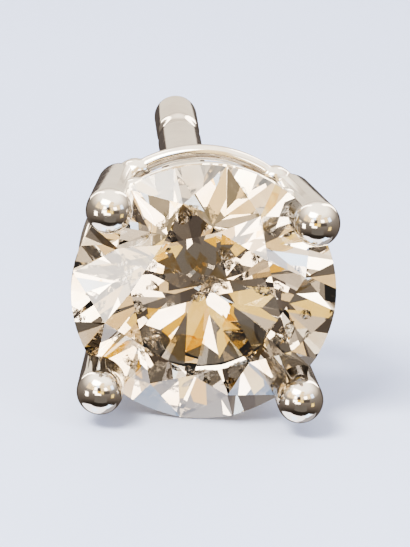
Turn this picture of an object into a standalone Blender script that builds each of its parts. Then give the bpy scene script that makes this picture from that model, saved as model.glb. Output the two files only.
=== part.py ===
"""Stud earring: a round brilliant in a four-prong basket on a straight ear post.

The pieces are modelled with the stone's table up and the back of the base cup
at z = 0.  An empty then turns them together, so that the stone faces -Y, as it
does on an ear, and the post points to +Y.
"""

import math

import bmesh
import bpy
from mathutils import Matrix, Vector

MM = 0.001

# Round brilliant stone.
STONE_RADIUS = 2.5 * MM
TABLE_RATIO = 0.57
CROWN_ANGLE = math.radians(34.0)
PAVILION_ANGLE = math.radians(40.8)
GIRDLE_THICKNESS = 0.16 * MM
STAR_LENGTH = 0.52
LOWER_HALF_LENGTH = 0.78
CULET_RADIUS = 0.04 * MM
MAIN_FACETS = 8
GIRDLE_SIDES = 96
STONE_TURN = math.radians(39.0)

# Heights above the back of the base cup.
GIRDLE_HEIGHT = 3.1 * MM
PRONG_TIP_HEIGHT = GIRDLE_HEIGHT + 0.84 * MM
UPPER_RAIL_HEIGHT = GIRDLE_HEIGHT - 0.45 * MM
LOWER_RAIL_HEIGHT = GIRDLE_HEIGHT - 1.95 * MM
PRONG_FOOT_HEIGHT = 0.38 * MM

# Prongs: wire that rises from the cup and was pushed over the stone by hand,
# so that no two stand at quite the same angle round it.
PRONG_DEGREES = (41.0, 138.0, 224.0, 317.0)
PRONG_TIP_REACH = 2.60 * MM
PRONG_TIP_RADIUS = 0.44 * MM
PRONG_NECK_RADIUS = 0.40 * MM
PRONG_FOOT_RADIUS = 0.31 * MM
PRONG_FOOT_REACH = 0.52 * MM
PRONG_LEAN = math.radians(8.5)
PRONG_BEND_RADIUS = 1.10 * MM
PRONG_BEND_STEPS = 7

# Gallery rails, of round wire.
UPPER_RAIL_REACH = 2.42 * MM
UPPER_RAIL_WIRE_RADIUS = 0.12 * MM
LOWER_RAIL_REACH = 2.31 * MM
LOWER_RAIL_WIRE_RADIUS = 0.15 * MM
RAIL_SEGMENTS = 64
RAIL_SIDES = 10

# Base cup, with the socket for the foot of the post.
CUP_RADIUS = 0.95 * MM
CUP_HEIGHT = 0.72 * MM
CUP_BEVEL = 0.10 * MM
SOCKET_DEPTH = 0.32 * MM
CUP_SIDES = 48

# Ear post.
POST_RADIUS = 0.43 * MM
POST_LENGTH = 9.5 * MM
POST_GROOVE_FROM_TIP = 1.9 * MM
POST_GROOVE_WIDTH = 0.7 * MM
POST_GROOVE_DEPTH = 0.07 * MM
POST_GROOVE_STEPS = 8

# Wire is modelled with WIRE_SIDES sides and its ends are rounded in ROUND_STEPS.
WIRE_SIDES = 16
ROUND_STEPS = 5

# Clearance at the stone's seats and round the foot of the post.
SEAT_GAP = 0.03 * MM


def polar(radius, angle, height):
    """A point at a radius and angle round the earring's axis."""
    return Vector((radius * math.cos(angle), radius * math.sin(angle), height))


def make_material(name, colour, roughness, metallic, transmission=0.0, ior=1.5):
    material = bpy.data.materials.new(name)
    material.use_nodes = True
    shader = material.node_tree.nodes["Principled BSDF"]
    shader.inputs["Base Color"].default_value = (*colour, 1.0)
    shader.inputs["Roughness"].default_value = roughness
    shader.inputs["Metallic"].default_value = metallic
    shader.inputs["Transmission Weight"].default_value = transmission
    shader.inputs["IOR"].default_value = ior
    material.diffuse_color = (*colour, 1.0)
    return material


def add_mesh_object(name, mesh, frame, material=None):
    """Link a mesh as an object of the earring, with its place relative to the empty."""
    item = bpy.data.objects.new(name, mesh)
    bpy.context.scene.collection.objects.link(item)
    item.parent = frame
    if material:
        mesh.materials.append(material)
    return item


def hide_as_guide(item):
    item.hide_render = True
    item.display_type = "WIRE"


def grind(bm, point, normal):
    """Grind one flat on a solid: cut away what lies beyond the plane and close the cut."""
    everything = bm.verts[:] + bm.edges[:] + bm.faces[:]
    cut = bmesh.ops.bisect_plane(
        bm, geom=everything, dist=1e-9, plane_co=point, plane_no=normal, clear_outer=True
    )
    rim = [piece for piece in cut["geom_cut"] if isinstance(piece, bmesh.types.BMEdge)]
    if rim:
        bmesh.ops.edgeloop_fill(bm, edges=rim)


def plane_through(a, b, c, outward):
    """The plane through three points as a point and a normal on the outward side."""
    normal = (b - a).cross(c - a).normalized()
    if normal.dot(outward) < 0:
        normal.negate()
    return a, normal


def brilliant_planes():
    """Every facet of the stone as a point and an outward normal, girdle plane at z = 0."""
    edge = GIRDLE_THICKNESS / 2
    table_radius = TABLE_RATIO * STONE_RADIUS
    crown_slope = math.tan(CROWN_ANGLE)
    pavilion_slope = math.tan(PAVILION_ANGLE)
    crown_top = edge + crown_slope * (STONE_RADIUS - table_radius)
    culet_height = -edge - pavilion_slope * (STONE_RADIUS - CULET_RADIUS)

    step = math.tau / MAIN_FACETS
    half = step / 2
    table_flat = table_radius * math.cos(half)
    star_radius = table_flat + STAR_LENGTH * (STONE_RADIUS - table_flat)
    star_height = edge + crown_slope * (STONE_RADIUS - star_radius * math.cos(half))
    valley_radius = STONE_RADIUS * (1 - LOWER_HALF_LENGTH)
    valley_height = -edge - pavilion_slope * (STONE_RADIUS - valley_radius * math.cos(half))

    planes = []
    for facet in range(MAIN_FACETS):
        angle = facet * step
        outward = polar(1.0, angle, 0.0)
        # Crown and pavilion mains.
        up = Vector((0.0, 0.0, 1.0))
        crown_normal = outward * math.sin(CROWN_ANGLE) + up * math.cos(CROWN_ANGLE)
        pavilion_normal = outward * math.sin(PAVILION_ANGLE) - up * math.cos(PAVILION_ANGLE)
        planes.append((polar(STONE_RADIUS, angle, edge), crown_normal))
        planes.append((polar(STONE_RADIUS, angle, -edge), pavilion_normal))
        # Star facet, and the two halves above and below the girdle on each side of it.
        star = polar(star_radius, angle + half, star_height)
        valley = polar(valley_radius, angle + half, valley_height)
        table_corners = (polar(table_radius, angle, crown_top), polar(table_radius, angle + step, crown_top))
        planes.append(plane_through(star, *table_corners, star))
        for corner_angle in (angle, angle + step):
            for tip, height in ((star, edge), (valley, -edge)):
                corner = polar(STONE_RADIUS, corner_angle, height)
                middle = polar(STONE_RADIUS, angle + half, height)
                planes.append(plane_through(tip, corner, middle, tip))
    planes.append((Vector((0.0, 0.0, crown_top)), Vector((0.0, 0.0, 1.0))))
    planes.append((Vector((0.0, 0.0, culet_height)), Vector((0.0, 0.0, -1.0))))
    return planes


def brilliant_mesh(name, allowance):
    """Cut the stone from a round blank, with every face moved out by the allowance."""
    bm = bmesh.new()
    bmesh.ops.create_cone(
        bm,
        cap_ends=True,
        segments=GIRDLE_SIDES,
        radius1=STONE_RADIUS + allowance,
        radius2=STONE_RADIUS + allowance,
        depth=4 * STONE_RADIUS,
    )
    for point, normal in brilliant_planes():
        grind(bm, point + normal * allowance, normal)
    bmesh.ops.remove_doubles(bm, verts=bm.verts[:], dist=0.001 * MM)
    bmesh.ops.recalc_face_normals(bm, faces=bm.faces[:])
    bmesh.ops.rotate(bm, verts=bm.verts[:], matrix=Matrix.Rotation(STONE_TURN, 3, "Z"))
    bmesh.ops.translate(bm, verts=bm.verts[:], vec=(0.0, 0.0, GIRDLE_HEIGHT))
    mesh = bpy.data.meshes.new(name)
    bm.to_mesh(mesh)
    bm.free()
    return mesh


def rounded_end(centre, direction, radius):
    """Stations of a wire's rounded end, from its full radius almost to its pole."""
    stations = []
    for step in range(ROUND_STEPS + 1):
        turn = math.radians(84.0) * step / ROUND_STEPS
        stations.append((centre + direction * radius * math.sin(turn), radius * math.cos(turn)))
    return stations


def wire_mesh(name, stations):
    """A round wire through stations of (point, radius), as a bevelled curve with caps."""
    curve = bpy.data.curves.new(name, "CURVE")
    curve.dimensions = "3D"
    curve.bevel_depth = 1.0
    curve.bevel_resolution = (WIRE_SIDES - 4) // 2
    curve.use_fill_caps = True
    spline = curve.splines.new("POLY")
    spline.points.add(len(stations) - 1)
    for point, (place, radius) in zip(spline.points, stations):
        point.co = (*place, 1.0)
        point.radius = radius
    carrier = bpy.data.objects.new(name, curve)
    mesh = bpy.data.meshes.new_from_object(carrier)
    bpy.data.objects.remove(carrier)
    mesh.name = name
    bm = bmesh.new()
    bm.from_mesh(mesh)
    bmesh.ops.remove_doubles(bm, verts=bm.verts[:], dist=0.001 * MM)
    bmesh.ops.recalc_face_normals(bm, faces=bm.faces[:])
    bm.to_mesh(mesh)
    bm.free()
    return mesh


def prong_stations(angle):
    """A prong from inside the cup, round its bend and up to its rounded tip."""
    outward = polar(1.0, angle, 0.0)
    up = Vector((0.0, 0.0, 1.0))
    leg = outward * math.sin(PRONG_LEAN) + up * math.cos(PRONG_LEAN)
    tip = outward * PRONG_TIP_REACH + up * PRONG_TIP_HEIGHT
    corner = tip - leg * (PRONG_TIP_HEIGHT - PRONG_FOOT_HEIGHT) / math.cos(PRONG_LEAN)

    # The bend is an arc between the level foot and the leaning leg.
    sweep = math.pi / 2 - PRONG_LEAN
    tangent = PRONG_BEND_RADIUS * math.tan(sweep / 2)
    bend_centre = corner - outward * tangent + up * PRONG_BEND_RADIUS
    foot = outward * PRONG_FOOT_REACH + up * PRONG_FOOT_HEIGHT
    stations = [(foot, PRONG_FOOT_RADIUS)]
    for step in range(PRONG_BEND_STEPS + 1):
        share = step / PRONG_BEND_STEPS
        turn = sweep * share
        offset = outward * math.sin(turn) - up * math.cos(turn)
        radius = PRONG_FOOT_RADIUS + (PRONG_NECK_RADIUS - PRONG_FOOT_RADIUS) * share
        stations.append((bend_centre + offset * PRONG_BEND_RADIUS, radius))
    stations += rounded_end(tip, leg, PRONG_TIP_RADIUS)
    return stations


def ring_mesh(name, reach, wire_radius, height):
    """A rail: a ring of round wire whose outer radius is its reach."""
    bm = bmesh.new()
    middle = Vector((reach - wire_radius, 0.0, height))
    place = Matrix.Translation(middle) @ Matrix.Rotation(math.pi / 2, 4, "X")
    section = bmesh.ops.create_circle(bm, segments=RAIL_SIDES, radius=wire_radius, matrix=place)
    edges = [edge for edge in bm.edges if edge.verts[0] in section["verts"]]
    bmesh.ops.spin(
        bm, geom=section["verts"] + edges, axis=(0, 0, 1), cent=(0, 0, 0), angle=math.tau, steps=RAIL_SEGMENTS
    )
    bmesh.ops.remove_doubles(bm, verts=bm.verts[:], dist=0.001 * MM)
    bmesh.ops.recalc_face_normals(bm, faces=bm.faces[:])
    mesh = bpy.data.meshes.new(name)
    bm.to_mesh(mesh)
    bm.free()
    return mesh


def cylinder_mesh(name, radius, low, high, bevel=0.0):
    """A round disc or bar between two heights, with its rims rounded by a bevel."""
    bm = bmesh.new()
    place = Matrix.Translation((0.0, 0.0, (low + high) / 2))
    bmesh.ops.create_cone(
        bm, cap_ends=True, segments=CUP_SIDES, radius1=radius, radius2=radius, depth=high - low, matrix=place
    )
    if bevel:
        rims = [edge for edge in bm.edges if abs(edge.verts[0].co.z - edge.verts[1].co.z) < bevel]
        bmesh.ops.bevel(bm, geom=rims, offset=bevel, segments=3, profile=0.5, affect="EDGES")
    mesh = bpy.data.meshes.new(name)
    bm.to_mesh(mesh)
    bm.free()
    return mesh


def shade_round(mesh, degrees):
    mesh.shade_smooth()
    mesh.set_sharp_from_angle(angle=math.radians(degrees))


def add_boolean(item, name, operation, tool):
    modifier = item.modifiers.new(name, "BOOLEAN")
    modifier.operation = operation
    modifier.solver = "EXACT"
    modifier.object = tool
    return modifier


def build_stone(frame):
    material = make_material("champagne_diamond", (0.92, 0.87, 0.76), 0.0, 0.0, transmission=1.0, ior=2.417)
    return add_mesh_object("stone", brilliant_mesh("stone", 0.0), frame, material)


def build_setting(frame):
    """Cup, prongs and rails soldered into one solid, then cut for the stone and the post."""
    material = make_material("white_gold", (0.80, 0.77, 0.72), 0.12, 1.0)
    cup = cylinder_mesh("setting", CUP_RADIUS, 0.0, CUP_HEIGHT, CUP_BEVEL)
    setting = add_mesh_object("setting", cup, frame, material)

    wires = [
        ring_mesh("upper_rail_wire", UPPER_RAIL_REACH, UPPER_RAIL_WIRE_RADIUS, UPPER_RAIL_HEIGHT),
        ring_mesh("lower_rail_wire", LOWER_RAIL_REACH, LOWER_RAIL_WIRE_RADIUS, LOWER_RAIL_HEIGHT),
    ]
    for number, degrees in enumerate(PRONG_DEGREES, start=1):
        wires.append(wire_mesh(f"prong_wire_{number}", prong_stations(math.radians(degrees))))
    for wire in wires:
        guide = add_mesh_object(wire.name, wire, frame)
        hide_as_guide(guide)
        add_boolean(setting, f"solder_{wire.name}", "UNION", guide)

    seat = add_mesh_object("seat_cutter", brilliant_mesh("seat_cutter", SEAT_GAP), frame)
    hide_as_guide(seat)
    add_boolean(setting, "stone_seat", "DIFFERENCE", seat)

    bore = cylinder_mesh("socket_cutter", POST_RADIUS + SEAT_GAP, -CUP_HEIGHT, SOCKET_DEPTH)
    socket = add_mesh_object("socket_cutter", bore, frame)
    hide_as_guide(socket)
    add_boolean(setting, "post_socket", "DIFFERENCE", socket)
    shade_round(cup, 40.0)
    return setting


def build_post(frame):
    """Straight pin with its foot in the socket, a friction groove and a rounded tip."""
    material = make_material("white_gold_post", (0.80, 0.77, 0.72), 0.15, 1.0)
    down = Vector((0.0, 0.0, -1.0))
    foot = SOCKET_DEPTH - SEAT_GAP
    tip_centre = POST_LENGTH - foot - POST_RADIUS
    groove_start = POST_LENGTH - foot - POST_GROOVE_FROM_TIP - POST_GROOVE_WIDTH / 2

    stations = [(down * -foot, POST_RADIUS)]
    for step in range(POST_GROOVE_STEPS + 1):
        share = step / POST_GROOVE_STEPS
        depth = POST_GROOVE_DEPTH * (1 - math.cos(math.tau * share)) / 2
        stations.append((down * (groove_start + POST_GROOVE_WIDTH * share), POST_RADIUS - depth))
    stations += rounded_end(down * tip_centre, down, POST_RADIUS)
    post = add_mesh_object("post", wire_mesh("post", stations), frame, material)
    shade_round(post.data, 40.0)
    return post


def main():
    for item in list(bpy.data.objects):
        bpy.data.objects.remove(item, do_unlink=True)

    frame = bpy.data.objects.new("as_worn", None)
    bpy.context.scene.collection.objects.link(frame)
    frame.rotation_euler = (math.pi / 2, 0.0, 0.0)

    build_stone(frame)
    build_setting(frame)
    build_post(frame)


main()
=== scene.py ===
import math
import random

import bmesh
import bpy
from mathutils import Matrix, Vector


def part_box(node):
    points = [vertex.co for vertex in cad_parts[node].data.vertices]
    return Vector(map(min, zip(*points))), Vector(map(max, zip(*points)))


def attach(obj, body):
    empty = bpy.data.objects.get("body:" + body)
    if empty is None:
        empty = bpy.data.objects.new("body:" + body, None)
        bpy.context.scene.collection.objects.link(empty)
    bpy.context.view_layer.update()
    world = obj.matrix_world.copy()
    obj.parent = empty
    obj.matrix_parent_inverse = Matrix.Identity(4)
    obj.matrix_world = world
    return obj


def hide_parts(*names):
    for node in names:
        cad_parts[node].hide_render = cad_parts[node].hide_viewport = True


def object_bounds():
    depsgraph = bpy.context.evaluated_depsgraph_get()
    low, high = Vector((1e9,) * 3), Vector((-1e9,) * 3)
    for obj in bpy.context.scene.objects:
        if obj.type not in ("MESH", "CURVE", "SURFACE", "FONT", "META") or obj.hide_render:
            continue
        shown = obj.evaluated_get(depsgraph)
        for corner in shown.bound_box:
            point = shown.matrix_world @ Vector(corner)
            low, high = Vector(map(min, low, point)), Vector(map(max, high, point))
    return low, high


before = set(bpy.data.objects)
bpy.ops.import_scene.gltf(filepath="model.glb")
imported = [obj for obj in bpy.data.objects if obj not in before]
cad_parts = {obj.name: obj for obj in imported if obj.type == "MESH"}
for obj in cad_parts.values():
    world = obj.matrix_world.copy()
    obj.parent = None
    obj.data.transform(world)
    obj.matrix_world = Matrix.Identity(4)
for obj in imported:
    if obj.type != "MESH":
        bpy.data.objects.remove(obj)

# The CAD nodes' boxes place and size the fine pieces, which repeat the CAD's own measures.
cad_low, cad_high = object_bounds()
MM = 0.001

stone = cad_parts["stone"]
stone_low, stone_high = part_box("stone")
setting_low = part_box("setting")[0]
post_low, post_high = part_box("post")

# The setting and the post are built upright, with the stone's side up and z = 0 at the back of
# the base cup, and are turned to the worn position when they are done.
STONE_RADIUS = (stone_high.x - stone_low.x) / 2
GIRDLE_HEIGHT = 3.1 * MM
SEAT_CLEARANCE = 0.012 * MM
SEAT_MERGE = 0.0005 * MM

# Prongs.
PRONG_DEGREES = (41.0, 138.0, 224.0, 317.0)
PRONG_TIP_REACH = 2.60 * MM
PRONG_TIP_RADIUS = 0.44 * MM
PRONG_NECK_RADIUS = 0.40 * MM
PRONG_FOOT_RADIUS = 0.31 * MM
PRONG_FOOT_REACH = 0.52 * MM
PRONG_FOOT_HEIGHT = 0.38 * MM
PRONG_TIP_HEIGHT = -setting_low.y - PRONG_TIP_RADIUS
PRONG_LEAN = math.radians(8.5)
PRONG_BEND_RADIUS = 1.10 * MM
PRONG_SIDES = 48
BEND_STEPS = 18

# The rounded end of a prong or of the post: the share of its radius that is rounded, and the
# number of steps.
ROUND_SHARE = 0.97
ROUND_STEPS = 14

# Rails of round wire. Solder swells the wire where a prong crosses it: the core grows by the
# full swell, and the rest tapers off within the reach.
UPPER_RAIL_REACH = 2.414 * MM
UPPER_RAIL_WIRE = 0.12 * MM
UPPER_RAIL_HEIGHT = GIRDLE_HEIGHT - 0.45 * MM
LOWER_RAIL_REACH = 2.31 * MM
LOWER_RAIL_WIRE = 0.15 * MM
LOWER_RAIL_HEIGHT = GIRDLE_HEIGHT - 1.95 * MM
RAIL_SEGMENTS = 240
RAIL_SIDES = 24
SOLDER_CORE = 1.2
SOLDER_SWELL = 0.9
SOLDER_REACH = 0.62 * MM

# Base cup and post.
CUP_RADIUS = 0.95 * MM
CUP_HEIGHT = 0.72 * MM
CUP_EDGE = 0.10 * MM
CUP_EDGE_STEPS = 5
CUP_SIDES = 96
SOCKET_RADIUS = 0.46 * MM
SOCKET_DEPTH = 0.32 * MM
POST_SIDES = 64
POST_RADIUS = (post_high.x - post_low.x) / 2
POST_FOOT = -post_low.y
POST_END = post_high.y
GROOVE_FROM_END = 1.9 * MM
GROOVE_WIDTH = 0.7 * MM
GROOVE_DEPTH = 0.07 * MM
GROOVE_STEPS = 12

# Edges shorter than this are leftovers of a cut.
SLIVER_WIDTH = 0.0012 * MM

# Curves that turn less than this from face to face are shaded smooth.
SMOOTH_DEGREES = 30.0

# Feathers inside the stone: each starts as a disc 1 mm in radius. The tear is the least and most
# that its rim moves out, as a share; the curl and the ripple are in mm.
FEATHER_SIDES = 18
FEATHER_RINGS = 3
FEATHER_RING_WIDTH = 0.24 * MM
FEATHER_TEAR = (-0.34, 0.16)
FEATHER_CURL = 0.10
FEATHER_RIPPLE = 0.03
FEATHER_THICKNESS = 0.004 * MM
FEATHER_WIDTH_SHARE = 0.7


# ---------------------------------------------------------------- modelling

def deselect():
    """Leave edit mode with nothing selected, so that an operator acts only on the new piece."""
    if bpy.context.object and bpy.context.object.mode == "EDIT":
        bpy.ops.object.mode_set(mode="OBJECT")
    bpy.ops.object.select_all(action="DESELECT")


def activate(piece):
    deselect()
    piece.select_set(True)
    bpy.context.view_layer.objects.active = piece


def apply_modifiers(piece):
    activate(piece)
    for modifier in list(piece.modifiers):
        bpy.ops.object.modifier_apply(modifier=modifier.name)
    return piece


def boolean(piece, tool, operation):
    """Join a tool to a piece or cut it away, and delete the tool."""
    modifier = piece.modifiers.new("cut", "BOOLEAN")
    modifier.operation = operation
    modifier.solver = "EXACT"
    modifier.object = tool
    apply_modifiers(piece)
    bpy.data.objects.remove(tool, do_unlink=True)


def start_wire(name, radius, sides, place, turn):
    """The first end of a wire: a filled circle, open in edit mode with its face selected."""
    deselect()
    bpy.ops.mesh.primitive_circle_add(
        vertices=sides, radius=radius, fill_type="NGON", location=place, rotation=turn
    )
    wire = bpy.context.object
    wire.name = name
    wire.data.name = name
    bpy.ops.object.transform_apply(location=True, rotation=True, scale=True)
    bpy.ops.object.mode_set(mode="EDIT")
    bpy.ops.mesh.select_all(action="SELECT")
    return wire


def draw_wire(move, end, growth=1.0):
    """Draw the selected end of a wire on by a move, and swell or thin its new end."""
    bpy.ops.mesh.extrude_region_move(TRANSFORM_OT_translate={"value": move})
    if growth != 1.0:
        bpy.ops.transform.resize(value=(growth,) * 3, center_override=end)


def round_end(radius):
    """Round the selected end of a wire to a dome."""
    bpy.ops.mesh.bevel(
        offset=radius * ROUND_SHARE, segments=ROUND_STEPS, profile=0.5, affect="EDGES"
    )


def close_wire():
    """Finish a wire: every face outwards, back in object mode."""
    bpy.ops.mesh.select_all(action="SELECT")
    bpy.ops.mesh.normals_make_consistent(inside=False)
    bpy.ops.object.mode_set(mode="OBJECT")


def make_prong():
    """One prong towards +X: level foot in the cup, bend, leaning leg and rounded tip."""
    sweep = math.pi / 2 - PRONG_LEAN
    leg = Vector((math.sin(PRONG_LEAN), 0.0, math.cos(PRONG_LEAN)))
    tip = Vector((PRONG_TIP_REACH, 0.0, PRONG_TIP_HEIGHT))
    corner = tip - leg * (PRONG_TIP_HEIGHT - PRONG_FOOT_HEIGHT) / leg.z
    tangent = PRONG_BEND_RADIUS * math.tan(sweep / 2)
    foot = Vector((PRONG_FOOT_REACH, 0.0, PRONG_FOOT_HEIGHT))
    bend_start = Vector((corner.x - tangent, 0.0, PRONG_FOOT_HEIGHT))
    bend_centre = bend_start + Vector((0.0, 0.0, PRONG_BEND_RADIUS))
    prong = start_wire("prong", PRONG_FOOT_RADIUS, PRONG_SIDES, foot, (0.0, math.pi / 2, 0.0))
    draw_wire(bend_start - foot, bend_start)
    growth = (PRONG_NECK_RADIUS / PRONG_FOOT_RADIUS) ** (1 / BEND_STEPS)
    for step in range(1, BEND_STEPS + 1):
        bpy.ops.mesh.spin(
            steps=1, angle=sweep / BEND_STEPS, center=bend_centre, axis=(0.0, 1.0, 0.0)
        )
        turn = sweep * step / BEND_STEPS
        end = bend_centre + Vector((math.sin(turn), 0.0, -math.cos(turn))) * PRONG_BEND_RADIUS
        bpy.ops.transform.resize(value=(growth,) * 3, center_override=end)
    last = tip + leg * PRONG_TIP_RADIUS
    growth = PRONG_TIP_RADIUS / PRONG_NECK_RADIUS
    draw_wire(tip - end, tip, growth)
    draw_wire(last - tip, last)
    round_end(PRONG_TIP_RADIUS)
    close_wire()
    return prong


def make_rail(name, reach, wire, height):
    """A rail: round wire closed into a ring, with solder drawn out where each prong crosses it."""
    deselect()
    bpy.ops.mesh.primitive_torus_add(
        major_radius=reach - wire,
        minor_radius=wire,
        major_segments=RAIL_SEGMENTS,
        minor_segments=RAIL_SIDES,
        location=(0.0, 0.0, height),
    )
    rail = bpy.context.object
    rail.name = name
    bpy.ops.object.transform_apply(location=True, rotation=True, scale=True)
    bpy.ops.object.mode_set(mode="EDIT")
    bpy.ops.mesh.select_mode(type="VERT")
    for degrees in PRONG_DEGREES:
        turn = math.radians(degrees)
        out = Vector((math.cos(turn), math.sin(turn), 0.0))
        joint = out * (reach - wire) + Vector((0.0, 0.0, height))
        bpy.ops.mesh.select_all(action="DESELECT")
        mesh = bmesh.from_edit_mesh(rail.data)
        for vertex in mesh.verts:
            vertex.select_set((vertex.co - joint).length < wire * SOLDER_CORE)
        mesh.select_flush_mode()
        bmesh.update_edit_mesh(rail.data)
        bpy.ops.transform.resize(
            value=(1.0 + SOLDER_SWELL,) * 3,
            center_override=joint,
            use_proportional_edit=True,
            proportional_edit_falloff="SMOOTH",
            proportional_size=SOLDER_REACH,
        )
    bpy.ops.object.mode_set(mode="OBJECT")
    return rail


def make_cup():
    """The base cup, with rounded rims."""
    deselect()
    bpy.ops.mesh.primitive_cylinder_add(
        vertices=CUP_SIDES,
        radius=CUP_RADIUS,
        depth=CUP_HEIGHT,
        location=(0.0, 0.0, CUP_HEIGHT / 2),
    )
    cup = bpy.context.object
    cup.name = "basket_setting"
    cup.data.name = "basket_setting"
    bpy.ops.object.transform_apply(location=True, rotation=True, scale=True)
    bpy.ops.object.mode_set(mode="EDIT")
    bpy.ops.mesh.select_mode(type="EDGE")
    bpy.ops.mesh.select_all(action="DESELECT")
    mesh = bmesh.from_edit_mesh(cup.data)
    for edge in mesh.edges:
        edge.select_set(abs(edge.verts[0].co.z - edge.verts[1].co.z) < CUP_EDGE)
    mesh.select_flush_mode()
    bmesh.update_edit_mesh(cup.data)
    bpy.ops.mesh.bevel(offset=CUP_EDGE, segments=CUP_EDGE_STEPS, profile=0.5, affect="EDGES")
    bpy.ops.mesh.select_all(action="SELECT")
    bpy.ops.mesh.normals_make_consistent(inside=False)
    bpy.ops.object.mode_set(mode="OBJECT")
    return cup


def make_seat_cutter():
    """A copy of the stone, a hair larger all round, that cuts the stone's seats."""
    cutter = bpy.data.objects.new("seat_cutter", stone.data.copy())
    bpy.context.scene.collection.objects.link(cutter)
    activate(cutter)
    bpy.ops.object.mode_set(mode="EDIT")
    bpy.ops.mesh.select_all(action="SELECT")
    bpy.ops.mesh.remove_doubles(threshold=SEAT_MERGE)
    growth = 1 + SEAT_CLEARANCE / STONE_RADIUS
    centre = (0.0, -GIRDLE_HEIGHT, 0.0)
    bpy.ops.transform.resize(value=(growth,) * 3, center_override=centre)
    bpy.ops.object.mode_set(mode="OBJECT")
    return cutter


def merge_slivers(piece):
    """Merge the slivers that the cuts leave, so that the shell is clean and closed."""
    activate(piece)
    bpy.ops.object.mode_set(mode="EDIT")
    bpy.ops.mesh.select_all(action="SELECT")
    bpy.ops.mesh.remove_doubles(threshold=SLIVER_WIDTH)
    bpy.ops.mesh.dissolve_degenerate(threshold=SLIVER_WIDTH)
    bpy.ops.object.mode_set(mode="OBJECT")
    return piece


def turn_to_wear(piece):
    """Turn an upright piece so that the stone's side faces -Y, and settle it at the origin."""
    activate(piece)
    piece.rotation_euler = (math.pi / 2, 0.0, 0.0)
    bpy.ops.object.transform_apply(location=True, rotation=True, scale=True)
    return piece


def make_setting():
    """Cup, prongs and rails soldered into one piece, then cut for the stone and the post."""
    setting = make_cup()
    pattern = make_prong()
    for degrees in PRONG_DEGREES:
        prong = pattern.copy()
        prong.data = pattern.data.copy()
        bpy.context.scene.collection.objects.link(prong)
        activate(prong)
        prong.rotation_euler = (0.0, 0.0, math.radians(degrees))
        bpy.ops.object.transform_apply(location=True, rotation=True, scale=True)
        boolean(setting, prong, "UNION")
    bpy.data.objects.remove(pattern, do_unlink=True)
    rails = (
        ("upper_rail", UPPER_RAIL_REACH, UPPER_RAIL_WIRE, UPPER_RAIL_HEIGHT),
        ("lower_rail", LOWER_RAIL_REACH, LOWER_RAIL_WIRE, LOWER_RAIL_HEIGHT),
    )
    for name, reach, wire, height in rails:
        boolean(setting, make_rail(name, reach, wire, height), "UNION")
    bpy.ops.mesh.primitive_cylinder_add(
        vertices=POST_SIDES,
        radius=SOCKET_RADIUS,
        depth=2 * SOCKET_DEPTH,
        location=(0.0, 0.0, 0.0),
    )
    boolean(setting, bpy.context.object, "DIFFERENCE")
    turn_to_wear(setting)
    boolean(setting, make_seat_cutter(), "DIFFERENCE")
    return merge_slivers(setting)


def make_post():
    """The ear post: straight wire, friction groove, rounded end."""
    down = Vector((0.0, 0.0, -1.0))
    foot = (0.0, 0.0, POST_FOOT)
    post = start_wire("ear_post", POST_RADIUS, POST_SIDES, foot, (math.pi, 0.0, 0.0))
    groove_start = POST_END - GROOVE_FROM_END - GROOVE_WIDTH / 2
    draw_wire(down * (POST_FOOT + groove_start), (0.0, 0.0, 0.0))
    before = POST_RADIUS
    for step in range(1, GROOVE_STEPS + 1):
        share = step / GROOVE_STEPS
        radius = POST_RADIUS - GROOVE_DEPTH * (1 - math.cos(math.tau * share)) / 2
        end = down * (groove_start + GROOVE_WIDTH * share)
        draw_wire(down * GROOVE_WIDTH / GROOVE_STEPS, end, radius / before)
        before = radius
    draw_wire(down * (POST_END + end.z), down * POST_END)
    round_end(POST_RADIUS)
    close_wire()
    return turn_to_wear(post)


def make_feather(name, seed):
    """A feather: a thin, slightly curled crack with a torn outline, lying flat at the origin."""
    chance = random.Random(seed)
    deselect()
    bpy.ops.mesh.primitive_circle_add(
        vertices=FEATHER_SIDES, radius=1.0 * MM, fill_type="NGON", location=(0.0, 0.0, 0.0)
    )
    feather = bpy.context.object
    feather.name = name
    feather.data.name = name
    bpy.ops.object.mode_set(mode="EDIT")
    bpy.ops.mesh.select_all(action="SELECT")
    for ring in range(FEATHER_RINGS):
        bpy.ops.mesh.inset(thickness=FEATHER_RING_WIDTH)
    bpy.ops.mesh.poke()
    mesh = bmesh.from_edit_mesh(feather.data)
    for vertex in mesh.verts:
        reach = vertex.co.length / MM
        if reach > 0.01:
            vertex.co.xy *= 1 + chance.uniform(*FEATHER_TEAR) * reach ** 2
        ripple = chance.uniform(-FEATHER_RIPPLE, FEATHER_RIPPLE)
        vertex.co.z = (FEATHER_CURL * reach ** 2 + ripple) * MM
    bmesh.update_edit_mesh(feather.data)
    bpy.ops.object.mode_set(mode="OBJECT")
    feather.modifiers.new("thickness", "SOLIDIFY").thickness = FEATHER_THICKNESS
    return apply_modifiers(feather)


def make_feathers(name, rows, seed):
    """Copies of one feather set in the stone: each row says where one lies, its size and tilt."""
    pattern = make_feather(name, seed)
    copies = []
    for right, up, depth, size, tilt, turn in rows:
        feather = pattern.copy()
        feather.data = pattern.data.copy()
        bpy.context.scene.collection.objects.link(feather)
        activate(feather)
        feather.scale = (size, size * FEATHER_WIDTH_SHARE, 1.0)
        feather.rotation_euler = (math.radians(90 + tilt), math.radians(turn), 0.0)
        feather.location = (right * MM, stone_low.y + depth * MM, up * MM)
        bpy.ops.object.transform_apply(location=True, rotation=True, scale=True)
        copies.append(feather)
    bpy.data.objects.remove(pattern, do_unlink=True)
    activate(copies[0])
    for feather in copies:
        feather.select_set(True)
    bpy.ops.object.join()
    feathers = bpy.context.object
    feathers.name = name
    feathers.data.name = name
    return feathers


def smooth(piece, degrees):
    activate(piece)
    bpy.ops.object.shade_smooth_by_angle(angle=math.radians(degrees))
    deselect()
    return piece


# ---------------------------------------------------------------- materials

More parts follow.
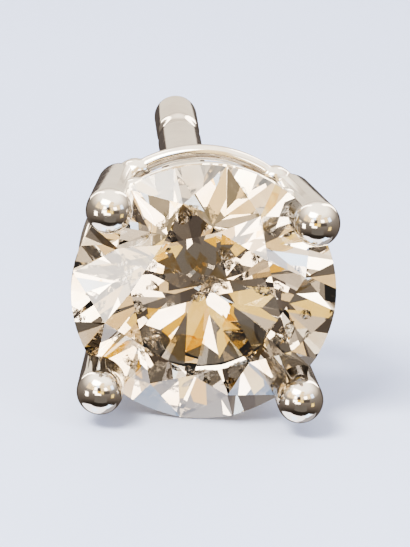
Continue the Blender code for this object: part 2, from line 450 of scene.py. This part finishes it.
def from_hex(code):
    """A colour given as an sRGB hex code, turned linear."""
    channels = [int(code[i:i + 2], 16) / 255 for i in (1, 3, 5)]
    linear = [c / 12.92 if c <= 0.04045 else ((c + 0.055) / 1.055) ** 2.4 for c in channels]
    return (*linear, 1.0)


def add_node(tree, kind, settings=None, inputs=None, stops=()):
    """Add a node with its settings, its colour stops, its values and its links from other nodes."""
    node = tree.nodes.new(kind)
    while stops and len(node.color_ramp.elements) < len(stops):
        node.color_ramp.elements.new(0.5)
    for position, (place, colour) in enumerate(stops):
        node.color_ramp.elements[position].position = place
        node.color_ramp.elements[position].color = colour
    for name, value in (settings or {}).items():
        setattr(node, name, value)
    for socket, value in (inputs or {}).items():
        if isinstance(value, bpy.types.NodeSocket):
            tree.links.new(value, node.inputs[socket])
        else:
            node.inputs[socket].default_value = value
    return node


def new_material(name):
    material = bpy.data.materials.new(name)
    material.use_nodes = True
    material.node_tree.nodes.clear()
    return material, material.node_tree


def champagne_diamond():
    """Diamond of faint champagne colour, lapped and polished: clear, with true flat mirrors."""
    material, tree = new_material("champagne_diamond")
    place = add_node(tree, "ShaderNodeTexCoord").outputs["Object"]
    # The body colour drifts from zone to zone of the crystal, about 1.1 mm wide.
    cloud = add_node(
        tree, "ShaderNodeTexNoise",
        inputs={"Vector": place, "Scale": 1 / (1.1 * MM), "Detail": 3.0, "Roughness": 0.6},
    ).outputs["Fac"]
    tint = add_node(
        tree, "ShaderNodeValToRGB", inputs={"Fac": cloud},
        stops=(
            (0.35, from_hex("#fffdf8")),
            (0.55, from_hex("#fbf3e4")),
            (0.75, from_hex("#efd9b0")),
        ),
    ).outputs["Color"]
    shader = add_node(
        tree, "ShaderNodeBsdfPrincipled",
        inputs={"Base Color": tint, "Roughness": 0.0, "IOR": 2.417, "Transmission Weight": 1.0},
    )
    depth = add_node(
        tree, "ShaderNodeVolumeAbsorption",
        inputs={"Color": from_hex("#fae0b4"), "Density": 45.0},
    )
    add_node(
        tree, "ShaderNodeOutputMaterial",
        inputs={"Surface": shader.outputs["BSDF"], "Volume": depth.outputs["Volume"]},
    )
    return material


def air_filled_feather():
    """A crack that let air in: it mirrors in silvery patches and is clear between them."""
    material, tree = new_material("air_filled_feather")
    place = add_node(tree, "ShaderNodeTexCoord").outputs["Object"]
    # Open patches of the crack, 0.09 mm wide: real ones are finer and wouldn't show.
    patches = add_node(
        tree, "ShaderNodeTexNoise",
        inputs={"Vector": place, "Scale": 1 / (0.09 * MM), "Detail": 3.0, "Roughness": 0.7},
    ).outputs["Fac"]
    cover = add_node(
        tree, "ShaderNodeMapRange",
        inputs={"Value": patches, "From Min": 0.42, "From Max": 0.60, "To Min": 0.05, "To Max": 0.85},
    ).outputs["Result"]
    shader = add_node(
        tree, "ShaderNodeBsdfPrincipled",
        inputs={"Base Color": from_hex("#f4efe8"), "Metallic": 1.0, "Roughness": 0.12, "Alpha": cover},
    )
    add_node(tree, "ShaderNodeOutputMaterial", inputs={"Surface": shader.outputs["BSDF"]})
    return material


def iron_stained_feather():
    """A crack stained by iron on its way up: a clear film that turns what shows through it gold."""
    material, tree = new_material("iron_stained_feather")
    place = add_node(tree, "ShaderNodeTexCoord").outputs["Object"]
    # The stain gathers in patches a quarter of a millimetre wide.
    patches = add_node(
        tree, "ShaderNodeTexNoise",
        inputs={"Vector": place, "Scale": 1 / (0.25 * MM), "Detail": 4.0, "Roughness": 0.65},
    ).outputs["Fac"]
    stain = add_node(
        tree, "ShaderNodeValToRGB", inputs={"Fac": patches},
        stops=(
            (0.38, from_hex("#fdf5dc")),
            (0.50, from_hex("#f6e2ae")),
            (0.64, from_hex("#efd08a")),
        ),
    ).outputs["Color"]
    shader = add_node(
        tree, "ShaderNodeBsdfPrincipled",
        inputs={"Base Color": stain, "Roughness": 0.0, "IOR": 1.0, "Transmission Weight": 1.0},
    )
    add_node(tree, "ShaderNodeOutputMaterial", inputs={"Surface": shader.outputs["BSDF"]})
    return material


def polished_white_gold():
    """White gold wire, cast, soldered and buffed: a slightly warm mirror with fine wipe marks."""
    material, tree = new_material("polished_white_gold")
    place = add_node(tree, "ShaderNodeTexCoord").outputs["Object"]
    # Handling dulls the buffed metal in patches half a millimetre wide.
    wear = add_node(
        tree, "ShaderNodeTexNoise",
        inputs={"Vector": place, "Scale": 1 / (0.5 * MM), "Detail": 4.0, "Roughness": 0.6},
    ).outputs["Fac"]
    colour = add_node(
        tree, "ShaderNodeValToRGB", inputs={"Fac": wear},
        stops=((0.3, from_hex("#e2dcd2")), (0.7, from_hex("#efe9df"))),
    ).outputs["Color"]
    gloss = add_node(
        tree, "ShaderNodeMapRange",
        inputs={"Value": wear, "From Min": 0.3, "From Max": 0.7, "To Min": 0.07, "To Max": 0.14},
    ).outputs["Result"]
    # Wipe marks are a few micrometres wide. They are drawn 0.08 mm wide, so that they show.
    marks = add_node(
        tree, "ShaderNodeTexNoise",
        inputs={"Vector": place, "Scale": 1 / (0.08 * MM), "Detail": 2.0, "Roughness": 0.5},
    ).outputs["Fac"]
    bump = add_node(
        tree, "ShaderNodeBump", inputs={"Strength": 0.5, "Distance": 0.0012 * MM, "Height": marks}
    ).outputs["Normal"]
    shader = add_node(
        tree, "ShaderNodeBsdfPrincipled",
        inputs={"Base Color": colour, "Metallic": 1.0, "Roughness": gloss, "Normal": bump},
    )
    add_node(tree, "ShaderNodeOutputMaterial", inputs={"Surface": shader.outputs["BSDF"]})
    return material


def studio_paper():
    """Matt pale cool-grey sweep paper."""
    material, tree = new_material("studio_paper")
    place = add_node(tree, "ShaderNodeTexCoord").outputs["Object"]
    # Paper fibre is too fine to show at this distance. Its clouding, 12 mm wide, is what shows.
    fibre = add_node(
        tree, "ShaderNodeTexNoise", inputs={"Vector": place, "Scale": 1 / (12 * MM), "Detail": 2.0}
    ).outputs["Fac"]
    colour = add_node(
        tree, "ShaderNodeValToRGB", inputs={"Fac": fibre},
        stops=((0.3, from_hex("#d9e0f0")), (0.7, from_hex("#dee4f3"))),
    ).outputs["Color"]
    shader = add_node(
        tree, "ShaderNodeBsdfPrincipled", inputs={"Base Color": colour, "Roughness": 0.55}
    )
    add_node(tree, "ShaderNodeOutputMaterial", inputs={"Surface": shader.outputs["BSDF"]})
    return material


def lit_card(name, colour, brightness):
    """Painted light: a glowing sheet that shows card stock or felt as a mirror shows it under the
    studio's lamps: even, without gloss.
    """
    material, tree = new_material(name)
    shader = add_node(
        tree, "ShaderNodeEmission", inputs={"Color": from_hex(colour), "Strength": brightness}
    )
    add_node(tree, "ShaderNodeOutputMaterial", inputs={"Surface": shader.outputs["Emission"]})
    return material


def give(piece, material):
    piece.data.materials.clear()
    piece.data.materials.append(material)


# ---------------------------------------------------------------- the earring

stone.material_slots[0].material = champagne_diamond()

# Each row: right, up, depth under the table, size (mm), tilt, turn (degrees).
cracks = make_feathers("air_feathers", (
    (0.10, 0.35, 0.9, 0.34, 35, 10),
    (0.34, 0.75, 1.1, 0.26, -40, 50),
    (-0.12, 0.05, 1.3, 0.22, 60, -30),
    (-0.95, -0.85, 0.8, 0.30, -30, 35),
    (-1.35, 0.45, 0.7, 0.28, 50, 80),
    (1.30, -0.55, 0.8, 0.26, 40, -60),
    (1.05, 0.15, 1.0, 0.20, -55, 20),
    (-1.10, -1.32, 0.85, 0.24, -25, 25),
    (1.78, -0.20, 0.85, 0.17, 40, 15),
    (-0.45, 1.50, 0.80, 0.22, 30, -40),
    (0.95, 1.30, 0.80, 0.18, -35, 60),
), 3)
give(cracks, air_filled_feather())
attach(cracks, "root")
stains = make_feathers("stained_feathers", (
    (-0.36, -0.88, 0.30, 0.48, 8, 15),
    (0.72, -0.70, 0.36, 0.52, -10, 40),
), 8)
give(stains, iron_stained_feather())
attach(stains, "root")

white_gold = polished_white_gold()
setting = smooth(make_setting(), SMOOTH_DEGREES)
give(setting, white_gold)
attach(setting, "root")
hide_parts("setting")

post = smooth(make_post(), SMOOTH_DEGREES)
give(post, white_gold)
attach(post, "root")
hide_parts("post")


# ---------------------------------------------------------------- studio

FLOOR_DROP = 0.02 * MM - cad_low.z
SWEEP_FLAT = 240 * MM
SWEEP_BEND = 160 * MM
SWEEP_HEIGHT = 420 * MM
SWEEP_STEPS = 64
SWEEP_SIDES = 128
SWEEP_SMOOTH_DEGREES = 60.0
CARD_DISTANCE = 110 * MM
TENT_RADIUS = 150 * MM
HEAD = Vector((0.0, -GIRDLE_HEIGHT, 0.0))

# A long lens at a macro distance, looking a little down on the stone, with a slight roll.
CAMERA_AZIMUTH = -4
CAMERA_ELEVATION = 17
CAMERA_ROLL = math.radians(4.2)
CAMERA_LENS = 500
CAMERA_DISTANCE = 143 * MM
CAMERA_TARGET = HEAD + Vector((0.0, 0.0, 0.35 * MM))


def direction(azimuth, elevation):
    """From the earring towards a place: azimuth 0 is in front of the stone, 90 to its right."""
    a, e = math.radians(azimuth), math.radians(elevation)
    return Vector((math.sin(a) * math.cos(e), -math.cos(a) * math.cos(e), math.sin(e)))


def aim(item, azimuth, elevation, distance, target=HEAD):
    """Put an item at a direction and distance from the head, facing it."""
    item.location = target + direction(azimuth, elevation) * distance
    item.rotation_euler = (target - item.location).to_track_quat("-Z", "Y").to_euler()


def softbox(name, azimuth, elevation, distance, width, height, power):
    """A white lamp behind a rectangle of cloth, turned to the head."""
    light = bpy.data.lights.new(name, "AREA")
    light.shape = "RECTANGLE"
    light.size = width
    light.size_y = height
    light.energy = power
    lamp = bpy.data.objects.new(name, light)
    bpy.context.scene.collection.objects.link(lamp)
    aim(lamp, azimuth, elevation, distance)


def only_mirrored(item):
    """Leave an item to the mirrors: out of view, with no light or shade thrown on the paper."""
    item.visible_camera = False
    item.visible_diffuse = False
    item.visible_shadow = False


def card(name, azimuth, elevation, wide, tall, material):
    """A flat card round the head, as many degrees wide and tall as the head sees it."""
    deselect()
    bpy.ops.mesh.primitive_plane_add(size=1.0)
    sheet = bpy.context.object
    sheet.name = name
    width, height = (
        2 * CARD_DISTANCE * math.tan(math.radians(side) / 2) for side in (wide, tall)
    )
    sheet.scale = (width, height, 1.0)
    aim(sheet, azimuth, elevation, CARD_DISTANCE)
    give(sheet, material)
    only_mirrored(sheet)


def tent_glow():
    """Painted light of the studio tent: a glow, dark at the bottom, taupe round the middle, cream
    overhead, as a cloth tent lit from above shows in a mirror.
    """
    material, tree = new_material("tent_glow")
    place = add_node(tree, "ShaderNodeTexCoord").outputs["Object"]
    height = add_node(tree, "ShaderNodeSeparateXYZ", inputs={"Vector": place}).outputs["Z"]
    rise = add_node(
        tree, "ShaderNodeMapRange",
        inputs={"Value": height, "From Min": -TENT_RADIUS, "From Max": TENT_RADIUS},
    ).outputs["Result"]
    # Painted light and shade: the glow darkens towards the bottom and turns bright cream overhead.
    shade = add_node(
        tree, "ShaderNodeValToRGB", inputs={"Fac": rise},
        stops=(
            (0.00, from_hex("#34302d")),
            (0.14, from_hex("#302c29")),
            (0.26, from_hex("#544e4a")),
            (0.60, from_hex("#736e6a")),
            (0.76, from_hex("#bfb5aa")),
            (0.91, from_hex("#fff8ee")),
        ),
    ).outputs["Color"]
    shader = add_node(tree, "ShaderNodeEmission", inputs={"Color": shade, "Strength": 2.0})
    add_node(tree, "ShaderNodeOutputMaterial", inputs={"Surface": shader.outputs["Emission"]})
    return material


def make_tent():
    """Painted reflection: a glowing tent all round that gives the facets and the prongs their soft
    dark sides.
    """
    deselect()
    bpy.ops.mesh.primitive_uv_sphere_add(
        segments=64, ring_count=32, radius=TENT_RADIUS, location=(0.0, 0.0, 0.0)
    )
    tent = bpy.context.object
    tent.name = "tent"
    give(tent, tent_glow())
    only_mirrored(tent)


def make_sweep():
    """Pale paper on the floor that curves up into a wall all round, as one seamless sweep."""
    deselect()
    bpy.ops.mesh.primitive_circle_add(
        vertices=SWEEP_SIDES,
        radius=SWEEP_FLAT,
        fill_type="NGON",
        location=(0.0, 0.0, -FLOOR_DROP),
    )
    sweep = bpy.context.object
    sweep.name = "sweep"
    bpy.ops.object.transform_apply(location=True, rotation=True, scale=True)
    bpy.ops.object.mode_set(mode="EDIT")
    bpy.ops.mesh.select_mode(type="EDGE")
    bpy.ops.mesh.select_all(action="SELECT")
    bpy.ops.mesh.region_to_loop()
    reach = SWEEP_FLAT
    rise = 0.0
    rings = []
    for step in range(1, SWEEP_STEPS + 1):
        turn = math.radians(90) * step / SWEEP_STEPS
        rings.append((SWEEP_FLAT + SWEEP_BEND * math.sin(turn), SWEEP_BEND * (1 - math.cos(turn))))
    rings.append((SWEEP_FLAT + SWEEP_BEND, SWEEP_HEIGHT))
    for new_reach, new_rise in rings:
        lift = (0.0, 0.0, new_rise - rise)
        bpy.ops.mesh.extrude_region_move(TRANSFORM_OT_translate={"value": lift})
        growth = new_reach / reach
        bpy.ops.transform.resize(value=(growth, growth, 1.0), center_override=(0.0, 0.0, 0.0))
        reach, rise = new_reach, new_rise
    bpy.ops.mesh.select_all(action="SELECT")
    bpy.ops.mesh.normals_make_consistent(inside=True)
    bpy.ops.object.mode_set(mode="OBJECT")
    smooth(sweep, SWEEP_SMOOTH_DEGREES)
    give(sweep, studio_paper())
    sweep.visible_glossy = False
    sweep.visible_transmission = False


make_sweep()

world = bpy.data.worlds.new("studio")
world.use_nodes = True
room_light = world.node_tree.nodes["Background"]
room_light.inputs["Color"].default_value = from_hex("#e3e8f6")
room_light.inputs["Strength"].default_value = 1.12
bpy.context.scene.world = world
bpy.context.scene.view_settings.look = "AgX - High Contrast"

softbox("key_softbox", -38, 48, 220 * MM, 90 * MM, 70 * MM, 0.62)
softbox("fill_softbox", 50, 30, 240 * MM, 70 * MM, 120 * MM, 0.12)

# What only the polished metal and the stone mirror, painted as glowing sheets: a tent, dark at the
# bottom and cream overhead, flags and bounce cards.
make_tent()
# Painted light: each card or felt glows with the colour and brightness that the lamps would give it,
# and only the mirrors show it.
felt = lit_card("grey_felt", "#918c88", 0.8)
dark = lit_card("dark_felt", "#6a6360", 1.0)
white = lit_card("white_card", "#fff5ea", 4.8)
cream = lit_card("cream_card", "#ffe4b4", 1.4)
gold = lit_card("gold_foil_card", "#f6da8c", 1.6)
brass = lit_card("brass_foil_card", "#f0c250", 1.4)
sky = lit_card("window_card", "#cfe2ff", 2.6)
skylit = lit_card("skylit_card", "#eceaf0", 2.2)
grey = lit_card("grey_card", "#c4c1c6", 0.9)
linen = lit_card("linen_card", "#efe4d6", 1.2)
key = lit_card("key_card", "#fffaf2", 6.0)

# Each row: name, azimuth, elevation, degrees wide, degrees tall, material.
for row in (
    ("table_flag", 4, -29, 52, 28, felt),
    ("camera_flag", -8, 22, 16, 16, dark),
    ("right_flag", 30, 7, 30, 13, dark),
    ("low_bounce", -12, -3, 26, 9, white),
    ("gold_bounce", 7, 7, 16, 13, gold),
    ("orange_bounce", -8, 7, 14, 13, brass),
    ("left_bounce", -26, 7, 20, 13, white),
    ("over_camera_bounce", 7, 22, 13, 14, cream),
    ("upper_right_bounce", 26, 24, 16, 13, white),
    ("upper_left_bounce", -27, 24, 13, 13, white),
    ("far_left_bounce", -42, 24, 16, 18, cream),
    ("side_left_bounce", -66, 28, 24, 26, cream),
    ("side_right_bounce", 46, 28, 18, 22, cream),
    ("brow_bounce", 3, 38, 24, 13, cream),
    ("high_window", -18, 36, 14, 12, sky),
    ("left_edge_bounce", -68, -8, 18, 18, white),
    ("window", 66, 24, 16, 16, sky),
    ("right_bounce", 62, -12, 16, 14, gold),
    ("high_bounce", 12, 51, 18, 10, cream),
    ("low_window", 72, -58, 20, 18, sky),
    ("under_bounce", 180, -81, 112, 62, skylit),
    ("under_window", -120, -80, 30, 16, sky),
    ("under_flag", 135, -58, 44, 34, grey),
    ("back_bounce", 180, 10, 44, 26, linen),
    ("back_flag", 176, -20, 80, 44, dark),
    ("key_bounce", -36, 52, 40, 26, key),
    ("back_left_strip", 150, 30, 12, 50, white),
    ("back_right_strip", 212, 30, 8, 50, white),
):
    card(*row)

camera_data = bpy.data.cameras.new("camera")
camera_data.lens = CAMERA_LENS
camera_data.clip_start = 1 * MM
camera_data.clip_end = 10.0
camera = bpy.data.objects.new("camera", camera_data)
bpy.context.scene.collection.objects.link(camera)
aim(camera, CAMERA_AZIMUTH, CAMERA_ELEVATION, CAMERA_DISTANCE, CAMERA_TARGET)
camera.rotation_euler = (
    camera.rotation_euler.to_matrix() @ Matrix.Rotation(CAMERA_ROLL, 3, "Z")
).to_euler()
bpy.context.scene.camera = camera
